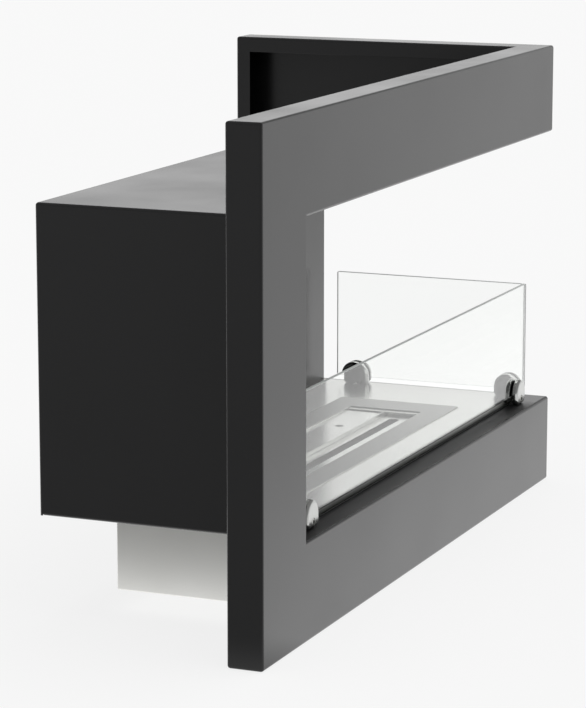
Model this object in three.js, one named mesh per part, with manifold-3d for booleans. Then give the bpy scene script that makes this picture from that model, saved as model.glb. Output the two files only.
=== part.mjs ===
// Corner fireplace with an ethanol burner: an L-shaped fascia of folded sheet, a black sheet casing,
// a polished hearth with a lift-out burner, and two low glass panes in clamps.
// Millimetres, +Z up. X runs along the front to the open corner, Y runs back from the front face.
import * as THREE from 'three';
import { mergeVertices } from 'three/addons/utils/BufferGeometryUtils.js';
import Module from 'manifold-3d';

const wasm = await Module();
wasm.setup();

// ---- Driving dimensions -------------------------------------------------------------------------

// Fascia
const frameLength = 830;        // front face, left end to open corner
const frameHeight = 500;
const sideLength = 375;         // side face, open corner to rear end
const frameDepth = 36;          // from the face to the rear lips
const railHeight = 97;          // top and bottom rails
const postWidth = 104.5;        // front left post
const rearPostWidth = 97;       // rear post of the side
const rearLip = 17;             // lip folded in behind the outer edges
const sheet = 1.5;              // fascia and casing sheet
const bendRadius = 3;           // outside radius of every fold
const mitreGap = 0.3;           // weld gap at the open corner

// Corner joiners inside the rails
const joinerLeg = 60;
const joinerHeight = 40;
const joinerSheet = 2;

// Casing
const casingLeft = 91.5;        // outside of the left wall, from the left end of the fascia
const backWallSet = 5;          // outside of the back wall, forward of the rear post's return
const casingReach = 18;         // how far roof and hearth run into the side fascia
const backWallStop = 27;        // back wall ends this far short of the open side face
const roofLap = 16;             // roof under the front return
const lapClearance = 0.3;       // sideways gap between lapped sheets and returns
const floorFlange = 20;         // left wall's flange on the hearth plate
const hemDepth = 3;             // stiffening hem at the open end of the back wall
const wallHoleRadius = 4;       // wall screw holes in the back wall
const wallHoleInset = 90;       // holes, from the ends of the back wall
const wallHoleDrop = 40;        // holes, from the roof

// Hearth
const plateSheet = 1;           // polished plate on the casing floor
const hearthFrontEdge = 25.6;   // front edge of the hearth, from the front face
const hearthLeftGap = 0.5;      // hearth to the post's return

// Burner
const burnerLeft = 138;         // rim's left end, from the left end of the fascia
const burnerLength = 580;
const burnerFront = 73;         // rim's front edge, from the front face
const burnerWidth = 141;
const burnerSheet = 1.2;
const rimEnd = 44;              // width of the rim at the ends
const rimSide = 28.5;           // width of the rim along the sides
const recessDepth = 5;
const rimBearing = 8;           // rim's overlap on the hearth plate
const slotFront = 15;           // flame slot, from the recess's front wall
const slotWidth = 12;
const slotEnd = 24;             // flame slot, from the recess's end walls
const slotFlat = 0.02;          // straight bit left between the round corners of its ends
const housingBottom = 20;       // height of the housing's underside
const tankClearance = 4;        // tank to the hearth cut-out
const tankFloorGap = 2.8;       // tank to the housing's floor
const woolTopGap = 14;          // wool to the underside of the recess
const woolClearance = 1.5;
const baffleSheet = 1.2;
const bafflePortRadius = 8;     // fuel ports through the baffles
const bafflePortHeight = 16;    // middle of a port, above the tank's floor
const retainerSheet = 1;
const retainerSlotLength = 34;
const retainerSlotWidth = 6;
const retainerPitch = 46;
const retainerRows = 4;

// Lid
const lidThickness = 2;
const lidWidth = 45.5;
const lidLip = 2.5;             // folded front edge, above the lid
const lidHoleRadius = 5;        // holes for the lid hook
const lidHoleInset = 90;
const runningGap = 0.3;         // under, over and beside the lid
const guideSheet = 1;
const guideReach = 7;           // guide's cover over the lid's end
const lipClearance = 1;         // lid's folded lip to the guides

// Glass
const glassThickness = 4;
const glassSetback = 23.6;      // middle of each pane, from the face it stands behind
const glassBottom = 107;
const glassTop = 230;
const frontGlassLeft = 115;     // left edge, from the left end of the fascia
const sideGlassGap = 26;        // rear edge, from the rear post's return
const glassCornerGap = 0.4;
const glassEdge = 0.4;          // ground edge
const glassCornerRadius = 2;

// Clamps
const clampWidth = 30;
const clampTop = 131.7;
const cheekThickness = 6;
const cheekRound = 3.6;         // rounded rim of each cheek
const rimShare = 0.9;           // most of a foot's radius, or of a cheek, that the rim may take
const jawFootRadius = 7;
const baseFootRadius = 4;
const footWidth = 22;
const padThickness = 1.5;
const padInset = 2;
const frontClampLeft = 155;     // middle, from the left end of the fascia
const frontClampRight = 56;     // middle, from the open side face
const sideClampFront = 44;      // middle, from the front face
const sideClampRear = 49;       // middle, from the rear post's return
const screwRadius = 2;
const screwHeadRadius = 3.8;
const screwHeadHeight = 2.2;
const screwSocket = 2.2;        // hexagon socket, across corners / 2
const screwSocketDepth = 1.76;
const holeClearance = 0.2;      // radial, round every screw and rivet
const clampScrewHeight = 4;     // above the hearth plate
const clampScrewLength = 13;
const mountScrewSet = 6.2;      // mounting screw, inward from the glass
const mountScrewReach = 12;     // above the hearth plate

// Rivets between roof and returns
const rivetRadius = 2;
const rivetHeadRadius = 4;
const rivetHeadHeight = 1.2;
const rivetCrownRadius = 2.4;   // flat top of the head
const rivetBulbRadius = 3;
const rivetBulbHeight = 3;
const rivetBulbShoulder = 2.1;  // height at which the bulb draws in
const frontRivetInset = 115;    // from the post and from the open side face
const sideRivetInset = 70;      // from the front return and from the back wall

// ---- Places worked out from the dimensions --------------------------------------------------------

const windowBottom = railHeight;
const windowTop = frameHeight - railHeight;
const windowRear = sideLength - rearPostWidth;
const sideBack = frameLength - frameDepth;          // rear plane of the side fascia
const casingDepth = windowRear - backWallSet;
const sideGlassRear = windowRear - sideGlassGap;

const floorTop = windowBottom + sheet;
const hearthTop = floorTop + plateSheet;
const hearthLeft = postWidth + hearthLeftGap;
const hearthRight = sideBack + casingReach;
const roofTop = windowTop;
const roofUnder = roofTop - sheet;
const backWallEnd = frameLength - backWallStop;
const casingInside = casingDepth - sheet;

const burnerRight = burnerLeft + burnerLength;
const burnerRear = burnerFront + burnerWidth;
const rimTop = hearthTop + burnerSheet;
const recessTop = rimTop - recessDepth;
const recessLeft = burnerLeft + rimEnd;
const recessRight = burnerRight - rimEnd;
const recessFront = burnerFront + rimSide;
const recessRear = burnerRear - rimSide;
const cutLeft = burnerLeft + rimBearing;
const cutRight = burnerRight - rimBearing;
const cutFront = burnerFront + rimBearing;
const cutRear = burnerRear - rimBearing;
const tankLeft = cutLeft + tankClearance;
const tankRight = cutRight - tankClearance;
const tankFront = cutFront + tankClearance;
const tankRear = cutRear - tankClearance;
const tankBottom = housingBottom + burnerSheet + tankFloorGap;
const tankInnerBottom = tankBottom + burnerSheet;
const woolTop = recessTop - burnerSheet - woolTopGap;

// ---- Solids -----------------------------------------------------------------------------------------

const overshoot = 1;            // how far a cutter runs past what it cuts
const roundSides = 16;          // facets round a screw, rivet or hole
const wideHoleSides = 24;       // and round the larger ones

function solid(geometry) {
  const bare = geometry.index ? geometry.toNonIndexed() : geometry.clone();
  bare.deleteAttribute('normal');
  bare.deleteAttribute('uv');
  const merged = mergeVertices(bare);
  return new wasm.Manifold(new wasm.Mesh({
    numProp: 3,
    vertProperties: new Float32Array(merged.attributes.position.array),
    triVerts: new Uint32Array(merged.index.array),
  }));
}

function surface(manifold) {
  const mesh = manifold.getMesh();
  const geometry = new THREE.BufferGeometry();
  geometry.setAttribute('position', new THREE.BufferAttribute(new Float32Array(mesh.vertProperties), 3));
  geometry.setIndex(new THREE.BufferAttribute(new Uint32Array(mesh.triVerts), 1));
  return geometry;
}

function block(x0, x1, y0, y1, z0, z1) {
  const geometry = new THREE.BoxGeometry(x1 - x0, y1 - y0, z1 - z0);
  geometry.translate((x0 + x1) / 2, (y0 + y1) / 2, (z0 + z1) / 2);
  return solid(geometry);
}

function union(pieces) {
  return pieces.reduce((whole, piece) => whole.add(piece));
}

function cut(body, tools) {
  return tools.reduce((rest, tool) => rest.subtract(tool), body);
}

function polygon(points) {
  return new THREE.Shape(points.map(([x, y]) => new THREE.Vector2(x, y)));
}

// Directions that a drawn shape's x, y and depth take in the fireplace.
const facingFront = [new THREE.Vector3(1, 0, 0), new THREE.Vector3(0, 0, 1), new THREE.Vector3(0, -1, 0)];
const facingSide = [new THREE.Vector3(0, 1, 0), new THREE.Vector3(0, 0, 1), new THREE.Vector3(1, 0, 0)];
const facingUp = [new THREE.Vector3(1, 0, 0), new THREE.Vector3(0, 1, 0), new THREE.Vector3(0, 0, 1)];

// A shape given depth towards its facing, with its rims rounded inside the outline.
function slab(shape, depth, facing, start, round = 0, steps = 3, curveSegments = 16) {
  const geometry = new THREE.ExtrudeGeometry(shape, {
    depth: depth - 2 * round,
    bevelEnabled: round > 0,
    bevelSize: round,
    bevelOffset: -round,
    bevelThickness: round,
    bevelSegments: steps,
    curveSegments,
  });
  geometry.translate(0, 0, round);
  geometry.applyMatrix4(new THREE.Matrix4().makeBasis(...facing));
  geometry.translate(start.x, start.y, start.z);
  return solid(geometry);
}

function at(x, y, z) {
  return new THREE.Vector3(x, y, z);
}

function rod(radius, from, to, sides = roundSides) {
  const span = new THREE.Vector3().subVectors(to, from);
  const geometry = new THREE.CylinderGeometry(radius, radius, span.length(), sides);
  const turn = new THREE.Quaternion().setFromUnitVectors(at(0, 1, 0), span.clone().normalize());
  geometry.applyQuaternion(turn);
  const middle = new THREE.Vector3().addVectors(from, to).multiplyScalar(0.5);
  geometry.translate(middle.x, middle.y, middle.z);
  return solid(geometry);
}

// A turned piece: pairs of radius and height, from the axis back to the axis.
function turned(profile, sides = roundSides) {
  const geometry = new THREE.LatheGeometry(profile.map(([r, h]) => new THREE.Vector2(r, h)), sides);
  geometry.rotateX(Math.PI / 2);
  return solid(geometry);
}

function roundedRectangle(x0, x1, y0, y1, radius) {
  const shape = new THREE.Shape();
  shape.moveTo(x0 + radius, y0);
  shape.lineTo(x1 - radius, y0);
  shape.absarc(x1 - radius, y0 + radius, radius, -Math.PI / 2, 0, false);
  shape.lineTo(x1, y1 - radius);
  shape.absarc(x1 - radius, y1 - radius, radius, 0, Math.PI / 2, false);
  shape.lineTo(x0 + radius, y1);
  shape.absarc(x0 + radius, y1 - radius, radius, Math.PI / 2, Math.PI, false);
  shape.lineTo(x0, y0 + radius);
  shape.absarc(x0 + radius, y0 + radius, radius, Math.PI, Math.PI * 1.5, false);
  return shape;
}

// ---- Materials --------------------------------------------------------------------------------------

function paint(color, roughness, metalness) {
  return new THREE.MeshStandardMaterial({ color, roughness, metalness });
}

const blackPaint = () => paint(0x1b1b1c, 0.42, 0);
const polishedSteel = () => paint(0xd6d7d4, 0.18, 1);
const brushedSteel = () => paint(0xb4b4b1, 0.38, 1);
const zincSteel = () => paint(0x9a9c9e, 0.4, 1);
const blackRubber = () => paint(0x17171a, 0.8, 0);
const ceramicWool = () => paint(0xe9e5da, 0.95, 0);

function clearGlass() {
  const glass = paint(0xdfe9e6, 0.03, 0);
  glass.transparent = true;
  glass.opacity = 0.3;
  return glass;
}

// ---- The fireplace ----------------------------------------------------------------------------------

const fireplace = new THREE.Group();
fireplace.position.set(-frameLength / 2, -sideLength / 2, 0);

function add(name, manifold, material, parent = fireplace) {
  const mesh = new THREE.Mesh(surface(manifold), material);
  mesh.name = name;
  parent.add(mesh);
  return mesh;
}

// Clamps: place of each, and which way it faces.
const clamps = [
  { name: 'front_left', along: frontClampLeft, side: false },
  { name: 'front_right', along: frameLength - frontClampRight, side: false },
  { name: 'side_front', along: sideClampFront, side: true },
  { name: 'side_rear', along: windowRear - sideClampRear, side: true },
];

function mountScrewPlace(clamp) {
  return clamp.side
    ? [frameLength - glassSetback - mountScrewSet, clamp.along]
    : [clamp.along, glassSetback + mountScrewSet];
}

function mountScrewHoles(z0, z1) {
  return clamps.map((clamp) => {
    const [x, y] = mountScrewPlace(clamp);
    return rod(screwRadius + holeClearance, at(x, y, z0), at(x, y, z1));
  });
}

const rivets = [
  { name: 'front_left', x: postWidth + frontRivetInset, y: frameDepth - roofLap / 2 },
  { name: 'front_right', x: frameLength - frontRivetInset, y: frameDepth - roofLap / 2 },
  { name: 'side_front', x: sideBack + casingReach / 2, y: frameDepth + sideRivetInset },
  { name: 'side_rear', x: sideBack + casingReach / 2, y: casingInside - sideRivetInset },
];

function rivetHoles(z0, z1) {
  return rivets.map(({ x, y }) => rod(rivetRadius + holeClearance, at(x, y, z0), at(x, y, z1)));
}

// Fascia: a C-shaped tray on each side of the open corner, hollow behind, cut apart on the mitre.
function buildFascia() {
  const front = polygon([
    [0, 0], [frameLength, 0], [frameLength, windowBottom], [postWidth, windowBottom],
    [postWidth, windowTop], [frameLength, windowTop], [frameLength, frameHeight], [0, frameHeight],
  ]);
  const side = polygon([
    [0, 0], [sideLength, 0], [sideLength, frameHeight], [0, frameHeight],
    [0, windowTop], [windowRear, windowTop], [windowRear, windowBottom], [0, windowBottom],
  ]);
  const outside = slab(front, frameDepth, facingFront, at(0, frameDepth, 0), bendRadius)
    .add(slab(side, frameDepth, facingSide, at(sideBack, 0, 0), bendRadius));

  const rails = [[sheet, windowBottom - sheet], [windowTop + sheet, frameHeight - sheet]];
  const railSlots = [[rearLip, windowBottom - sheet], [windowTop + sheet, frameHeight - rearLip]];
  const hollow = [];
  for (const [z0, z1] of rails) {
    hollow.push(block(sheet, frameLength - sheet, sheet, frameDepth - sheet, z0, z1));
    hollow.push(block(sideBack + sheet, frameLength - sheet, sheet, sideLength - sheet, z0, z1));
  }
  for (const [z0, z1] of railSlots) {
    hollow.push(block(rearLip, sideBack, sheet, frameDepth + sheet, z0, z1));
    hollow.push(block(sideBack - sheet, frameLength - sheet, frameDepth, sideLength - rearLip, z0, z1));
  }
  const z0 = rearLip;
  const z1 = frameHeight - rearLip;
  hollow.push(block(sheet, postWidth - sheet, sheet, frameDepth - sheet, sheet, frameHeight - sheet));
  hollow.push(block(rearLip, postWidth - sheet, sheet, frameDepth + sheet, z0, z1));
  hollow.push(block(sideBack + sheet, frameLength - sheet, windowRear + sheet, sideLength - sheet,
    sheet, frameHeight - sheet));
  hollow.push(block(sideBack - sheet, frameLength - sheet, windowRear + sheet, sideLength - rearLip,
    z0, z1));
  const holes = [
    ...mountScrewHoles(windowBottom - 2 * sheet, windowBottom + sheet),
    ...rivetHoles(windowTop - sheet, windowTop + 2 * sheet),
  ];
  const whole = cut(outside, [...hollow, ...holes]);

  const half = mitreGap / Math.SQRT2;
  const past = frameDepth;
  const frontSide = polygon([
    [-past, -past], [frameLength - half + past, -past],
    [frameLength - half - 2 * past, 2 * past], [-past, 2 * past],
  ]);
  const otherSide = polygon([
    [frameLength + half + past, -past], [frameLength + 3 * past, -past],
    [frameLength + 3 * past, sideLength + past], [frameLength + half - 2 * past, sideLength + past],
    [frameLength + half - 2 * past, 2 * past],
  ]);
  const tall = frameHeight + 2 * past;
  add('front_fascia', whole.intersect(slab(frontSide, tall, facingUp, at(0, 0, -past))), blackPaint());
  add('side_fascia', whole.intersect(slab(otherSide, tall, facingUp, at(0, 0, -past))), blackPaint());
}

// Corner joiners: steel angles welded inside the rails, across the mitre.
function buildJoiners() {
  const right = frameLength - sheet;
  const angle = polygon([
    [right, sheet], [right, sheet + joinerLeg], [right - joinerSheet, sheet + joinerLeg],
    [right - joinerSheet, sheet + joinerSheet], [right - joinerLeg, sheet + joinerSheet],
    [right - joinerLeg, sheet],
  ]);
  const drop = (railHeight - joinerHeight) / 2;
  const places = { bottom: drop, top: windowTop + drop };
  for (const [name, z] of Object.entries(places)) {
    add(`corner_joiner_${name}`, slab(angle, joinerHeight, facingUp, at(0, 0, z)), zincSteel());
  }
}

// Casing: left and back wall are one folded sheet, and the roof is a sheet welded on top of them, with
// its edges ground round to meet them.
function buildCasing() {
  const past = frameDepth;
  const uprightFold = bendRadius + sheet;
  const innerFold = Math.max(bendRadius - sheet, 0);
  const plan = (inset) => roundedRectangle(
    casingLeft + inset, frameLength + past, -past, casingDepth - inset, uprightFold - inset);
  const bottom = hearthTop - 2 * past;
  const tall = roofTop - bottom;
  const outside = slab(plan(0), tall, facingUp, at(0, 0, bottom), bendRadius, 3, 3);
  const inside = slab(plan(sheet), tall - sheet, facingUp, at(0, 0, bottom), innerFold, 2, 3);
  const roofFront = frameDepth - roofLap;
  const far = frameLength + 2 * past;
  const away = [
    block(-past, far, -2 * past, casingDepth + past, bottom - past, hearthTop),
    block(-past, far, -2 * past, frameDepth, bottom, roofUnder),
    block(backWallEnd, far, -2 * past, casingDepth + past, bottom, roofUnder),
    block(-past, far, -2 * past, roofFront, bottom, roofTop + past),
    block(hearthRight, far, -2 * past, casingDepth + past, bottom, roofTop + past),
    block(-past, postWidth + lapClearance, -2 * past, frameDepth, bottom, roofTop + past),
  ];
  const flanges = [
    block(casingLeft + sheet / 2, casingLeft + sheet + floorFlange, frameDepth, casingDepth - sheet / 2,
      hearthTop, hearthTop + sheet),
    block(casingLeft, postWidth, frameDepth, frameDepth + sheet, hearthTop, roofTop - sheet / 2),
    block(backWallEnd - sheet, backWallEnd, casingInside - hemDepth, casingDepth - sheet / 2,
      hearthTop, roofTop - sheet / 2),
  ];
  const span = backWallEnd - casingLeft;
  const wallHoles = [wallHoleInset, span - wallHoleInset].map((x) => rod(wallHoleRadius,
    at(casingLeft + x, casingInside - sheet, roofUnder - wallHoleDrop),
    at(casingLeft + x, casingDepth + sheet, roofUnder - wallHoleDrop), wideHoleSides));
  const shell = cut(outside, [inside, ...away]);
  const body = cut(union([shell, ...flanges]), [...wallHoles, ...rivetHoles(roofUnder - sheet,
    roofTop + sheet)]);
  const belowRoof = block(-past, far, -2 * past, casingDepth + past, bottom - past, roofUnder);
  add('casing_shell', body.intersect(belowRoof), blackPaint());
  add('casing_roof', body.subtract(belowRoof), blackPaint());
}

function buildHearth() {
  const opening = (z0, z1) => block(cutLeft, cutRight, cutFront, cutRear,
    z0 - overshoot, z1 + overshoot);
  const layer = (z0, z1) => cut(
    block(hearthLeft, hearthRight, hearthFrontEdge, casingDepth, z0, z1),
    [opening(z0, z1), ...mountScrewHoles(z0 - overshoot, z1 + overshoot)]);
  add('casing_floor', layer(windowBottom, floorTop), blackPaint());
  add('hearth_plate', layer(floorTop, hearthTop), polishedSteel());
}

function buildRivets() {
  const grip = 2 * sheet;
  for (const { name, x, y } of rivets) {
    const rivet = turned([
      [0, -rivetHeadHeight], [rivetCrownRadius, -rivetHeadHeight], [rivetHeadRadius, 0],
      [rivetRadius, 0], [rivetRadius, grip], [rivetBulbRadius, grip],
      [rivetBulbRadius, grip + rivetBulbShoulder], [rivetRadius, grip + rivetBulbHeight],
      [0, grip + rivetBulbHeight],
    ]);
    add(`roof_rivet_${name}`, rivet, zincSteel()).position.set(x, y, roofUnder);
  }
}

function pane(x0, x1) {
  const shape = roundedRectangle(x0, x1, glassBottom, glassTop, glassCornerRadius);
  return (facing, start) => slab(shape, glassThickness, facing, start, glassEdge, 1, 4);
}

function buildGlass() {
  const half = glassThickness / 2;
  const cornerX = frameLength - glassSetback;
  const front = pane(frontGlassLeft, cornerX + half);
  add('front_glass', front(facingFront, at(0, glassSetback + half, 0)), clearGlass());
  const side = pane(glassSetback + half + glassCornerGap, sideGlassRear);
  add('side_glass', side(facingSide, at(cornerX - half, 0, 0)), clearGlass());
}

// A cheek's outline: straight sides, a half-round top and rounded feet. x is along the glass.
function cheekOutline(bottom, footRadius, inset = 0) {
  const half = clampWidth / 2 - inset;
  const crown = clampTop - clampWidth / 2;
  const shape = new THREE.Shape();
  shape.moveTo(-half + footRadius, bottom);
  shape.lineTo(half - footRadius, bottom);
  shape.absarc(half - footRadius, bottom + footRadius, footRadius, -Math.PI / 2, 0, false);
  shape.lineTo(half, crown);
  shape.absarc(0, crown, half, 0, Math.PI, false);
  shape.lineTo(-half, bottom + footRadius);
  shape.absarc(-half + footRadius, bottom + footRadius, footRadius, Math.PI, Math.PI * 1.5, false);
  return shape;
}

// A cheek with its rim rounded on the outside only: a double slab, cut in half.
function cheek(bottom, footRadius, from, outward) {
  const depth = 2 * cheekThickness;
  const shape = cheekOutline(bottom, footRadius);
  const start = outward > 0 ? from - cheekThickness : from - depth + cheekThickness;
  const round = Math.min(cheekRound, rimShare * footRadius, rimShare * cheekThickness);
  const both = slab(shape, depth, facingFront, at(0, -start, 0), round, 3, 8);
  const half = block(-clampWidth, clampWidth, -Math.max(from, from + outward * cheekThickness),
    -Math.min(from, from + outward * cheekThickness), 0, frameHeight);
  return both.intersect(half);
}

// A clamp is drawn on the front pane: x along the glass, -y outward, and the glass's middle at y = 0.
function buildClamp({ name, along, side }) {
  const clamp = new THREE.Group();
  if (side) {
    clamp.position.set(frameLength - glassSetback, along, 0);
    clamp.rotation.z = Math.PI / 2;
  } else {
    clamp.position.set(along, glassSetback, 0);
  }
  fireplace.add(clamp);

  const faceOut = glassThickness / 2 + padThickness;
  const jawBottom = side ? hearthTop + lapClearance : windowBottom + lapClearance;
  const screwZ = hearthTop + clampScrewHeight;
  const jawFace = faceOut + cheekThickness;
  const outside = -jawFace - overshoot;
  const screwHole = (to) => rod(screwRadius + holeClearance, at(0, outside, screwZ), at(0, to, screwZ));
  const headSeat = rod(screwHeadRadius + holeClearance, at(0, outside, screwZ),
    at(0, -jawFace + screwHeadHeight, screwZ), wideHoleSides);
  const jaw = cut(cheek(jawBottom, jawFootRadius, faceOut, 1), [screwHole(0), headSeat]);
  add(`clamp_jaw_${name}`, jaw, polishedSteel(), clamp);

  const screwTip = -jawFace + clampScrewLength;
  const foot = block(-footWidth / 2, footWidth / 2, -faceOut, faceOut, hearthTop,
    glassBottom - lapClearance);
  const mountHole = rod(screwRadius + holeClearance, at(0, mountScrewSet, hearthTop - overshoot),
    at(0, mountScrewSet, hearthTop + mountScrewReach + lapClearance));
  const base = cut(cheek(hearthTop, baseFootRadius, -faceOut, -1).add(foot),
    [screwHole(screwTip + lapClearance), mountHole]);
  add(`clamp_base_${name}`, base, polishedSteel(), clamp);

  const padShape = cheekOutline(glassBottom, padInset, padInset);
  for (const [padName, y] of [['outer', -glassThickness / 2], ['inner', faceOut]]) {
    const pad = slab(padShape, padThickness, facingFront, at(0, y, 0), 0, 1, 10);
    add(`clamp_pad_${padName}_${name}`, pad, blackRubber(), clamp);
  }

  const head = turned([
    [0, 0], [screwHeadRadius, 0], [screwHeadRadius, screwHeadHeight], [screwRadius, screwHeadHeight],
    [screwRadius, clampScrewLength], [0, clampScrewLength],
  ]);
  const socket = rod(screwSocket, at(0, 0, -overshoot), at(0, 0, screwSocketDepth), 6);
  const clampScrew = add(`clamp_screw_${name}`, head.subtract(socket), zincSteel(), clamp);
  clampScrew.position.set(0, -jawFace, screwZ);
  clampScrew.rotation.x = -Math.PI / 2;

  const under = windowBottom - sheet;
  const reach = hearthTop + mountScrewReach - under;
  const mountScrew = turned([
    [0, -screwHeadHeight], [screwHeadRadius, -screwHeadHeight], [screwHeadRadius, 0], [screwRadius, 0],
    [screwRadius, reach], [0, reach],
  ]);
  const hexagon = rod(screwSocket, at(0, 0, -screwHeadHeight - overshoot),
    at(0, 0, -screwHeadHeight + screwSocketDepth), 6);
  add(`clamp_mount_screw_${name}`, mountScrew.subtract(hexagon), zincSteel(), clamp)
    .position.set(0, mountScrewSet, under);
}

// Housing: the steel box under the casing floor, with its upper edge folded inward.
function buildHousing() {
  const top = windowBottom;
  const body = cut(block(burnerLeft, burnerRight, burnerFront, burnerRear, housingBottom, top), [
    block(burnerLeft + burnerSheet, burnerRight - burnerSheet, burnerFront + burnerSheet,
      burnerRear - burnerSheet, housingBottom + burnerSheet, top - burnerSheet),
    block(cutLeft, cutRight, cutFront, cutRear, housingBottom + burnerSheet, top + overshoot),
  ]);
  add('burner_housing', body, brushedSteel());
}

// Burner top: a pressed plate with a rim on the hearth, a recess and the flame slot.
function buildBurnerTop() {
  const wall = burnerSheet;
  const rim = block(burnerLeft, burnerRight, burnerFront, burnerRear, hearthTop, rimTop);
  const pan = block(recessLeft - wall, recessRight + wall, recessFront - wall, recessRear + wall,
    recessTop - wall, rimTop);
  const recess = block(recessLeft, recessRight, recessFront, recessRear, recessTop,
    rimTop + overshoot);
  const slotShape = roundedRectangle(recessLeft + slotEnd, recessRight - slotEnd,
    recessFront + slotFront, recessFront + slotFront + slotWidth, (slotWidth - slotFlat) / 2);
  const slot = slab(slotShape, recessDepth + 2 * wall, facingUp, at(0, 0, recessTop - 2 * wall), 0, 1, 6);
  add('burner_top', cut(rim.add(pan), [recess, slot]), polishedSteel());
}

function buildTank() {
  const body = cut(block(tankLeft, tankRight, tankFront, tankRear, tankBottom, hearthTop), [
    block(tankLeft + burnerSheet, tankRight - burnerSheet, tankFront + burnerSheet,
      tankRear - burnerSheet, tankInnerBottom, hearthTop + overshoot),
  ]);
  add('fuel_tank', body, brushedSteel());

  const innerLeft = tankLeft + burnerSheet;
  const innerRight = tankRight - burnerSheet;
  const innerFront = tankFront + burnerSheet;
  const innerRear = tankRear - burnerSheet;
  const bay = (innerRight - innerLeft) / 3;
  const middleY = (innerFront + innerRear) / 2;
  ['left', 'right'].forEach((name, i) => {
    const x = innerLeft + bay * (i + 1);
    const portZ = tankInnerBottom + bafflePortHeight;
    const port = rod(bafflePortRadius, at(x - baffleSheet, middleY, portZ),
      at(x + baffleSheet, middleY, portZ));
    const baffle = block(x - baffleSheet / 2, x + baffleSheet / 2, innerFront, innerRear,
      tankInnerBottom, woolTop);
    add(`tank_baffle_${name}`, baffle.subtract(port), brushedSteel());
  });
  ['left', 'middle', 'right'].forEach((name, i) => {
    const x0 = innerLeft + bay * i + (i > 0 ? baffleSheet / 2 : 0);
    const x1 = innerLeft + bay * (i + 1) - (i < 2 ? baffleSheet / 2 : 0);
    const shape = roundedRectangle(x0 + woolClearance, x1 - woolClearance,
      innerFront + woolClearance, innerRear - woolClearance, bendRadius);
    const wool = slab(shape, woolTop - tankInnerBottom, facingUp, at(0, 0, tankInnerBottom), 0, 1, 3);
    add(`ceramic_wool_${name}`, wool, ceramicWool());
  });

  const length = innerRight - innerLeft - 2 * woolClearance;
  const columns = Math.floor((length - retainerSlotLength) / retainerPitch);
  const rowPitch = (innerRear - innerFront) / (retainerRows + 1);
  const slots = [];
  for (let column = 0; column < columns; column += 1) {
    for (let row = 1; row <= retainerRows; row += 1) {
      const x = (innerLeft + innerRight) / 2 + (column - (columns - 1) / 2) * retainerPitch;
      const y = innerFront + row * rowPitch;
      slots.push(block(x - retainerSlotLength / 2, x + retainerSlotLength / 2,
        y - retainerSlotWidth / 2, y + retainerSlotWidth / 2, woolTop - overshoot,
        woolTop + retainerSheet + overshoot));
    }
  }
  const retainer = block(innerLeft + woolClearance, innerRight - woolClearance,
    innerFront + woolClearance, innerRear - woolClearance, woolTop, woolTop + retainerSheet);
  add('wool_retainer', cut(retainer, slots), brushedSteel());
}

// Lid: lies in the rear of the recess and slides forward over the flame slot, under two guides.
function buildLid() {
  const bottom = recessTop + runningGap;
  const top = bottom + lidThickness;
  const left = recessLeft + runningGap + guideSheet + runningGap;
  const right = recessRight - runningGap - guideSheet - runningGap;
  const rear = recessRear - runningGap;
  const front = rear - lidWidth;
  const plate = block(left, right, front, rear, bottom, top);
  const lip = block(left + guideReach + lipClearance, right - guideReach - lipClearance,
    front, front + burnerSheet, bottom, top + lidLip);
  const middleY = (front + rear) / 2;
  const hookHoles = [left + lidHoleInset, right - lidHoleInset].map((x) => rod(lidHoleRadius,
    at(x, middleY, bottom - overshoot), at(x, middleY, top + overshoot), wideHoleSides));
  add('burner_lid', cut(plate.add(lip), hookHoles), polishedSteel());

  const guideTop = top + runningGap + guideSheet;
  const profile = (wallX, towards) => polygon([
    [wallX, recessTop], [wallX + towards * guideSheet, recessTop],
    [wallX + towards * guideSheet, guideTop - guideSheet],
    [wallX + towards * (guideSheet + guideReach), guideTop - guideSheet],
    [wallX + towards * (guideSheet + guideReach), guideTop], [wallX, guideTop],
  ]);
  const length = recessRear - recessFront - 2 * runningGap;
  const rearEnd = at(0, recessRear - runningGap, 0);
  add('lid_guide_left', slab(profile(recessLeft + runningGap, 1), length, facingFront, rearEnd),
    brushedSteel());
  add('lid_guide_right', slab(profile(recessRight - runningGap, -1), length, facingFront, rearEnd),
    brushedSteel());
}

buildFascia();
buildJoiners();
buildCasing();
buildHearth();
buildRivets();
buildGlass();
clamps.forEach(buildClamp);
buildHousing();
buildBurnerTop();
buildTank();
buildLid();

export default fireplace;
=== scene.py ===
"""Corner fireplace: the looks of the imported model, in metres, in the model's own frame."""
import math

import bmesh
import bpy
from mathutils import Matrix, Vector, noise


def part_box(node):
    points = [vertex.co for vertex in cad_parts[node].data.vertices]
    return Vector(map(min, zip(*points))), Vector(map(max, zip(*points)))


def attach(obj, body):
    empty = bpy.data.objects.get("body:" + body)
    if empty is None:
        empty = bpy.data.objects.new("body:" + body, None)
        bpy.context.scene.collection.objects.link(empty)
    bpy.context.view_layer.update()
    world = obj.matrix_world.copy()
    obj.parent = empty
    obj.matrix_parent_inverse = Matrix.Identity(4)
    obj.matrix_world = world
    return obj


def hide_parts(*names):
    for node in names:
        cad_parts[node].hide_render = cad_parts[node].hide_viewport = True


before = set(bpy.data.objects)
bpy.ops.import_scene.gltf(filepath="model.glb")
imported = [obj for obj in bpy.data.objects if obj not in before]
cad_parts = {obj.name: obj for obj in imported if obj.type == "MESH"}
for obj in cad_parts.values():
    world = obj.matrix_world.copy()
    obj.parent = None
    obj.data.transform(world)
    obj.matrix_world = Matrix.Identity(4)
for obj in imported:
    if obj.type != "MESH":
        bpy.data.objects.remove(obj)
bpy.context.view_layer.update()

# ---- Sizes -----------------------------------------------------------------------------------------

MM = 0.001
UP = Vector((0, 0, 1))

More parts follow.
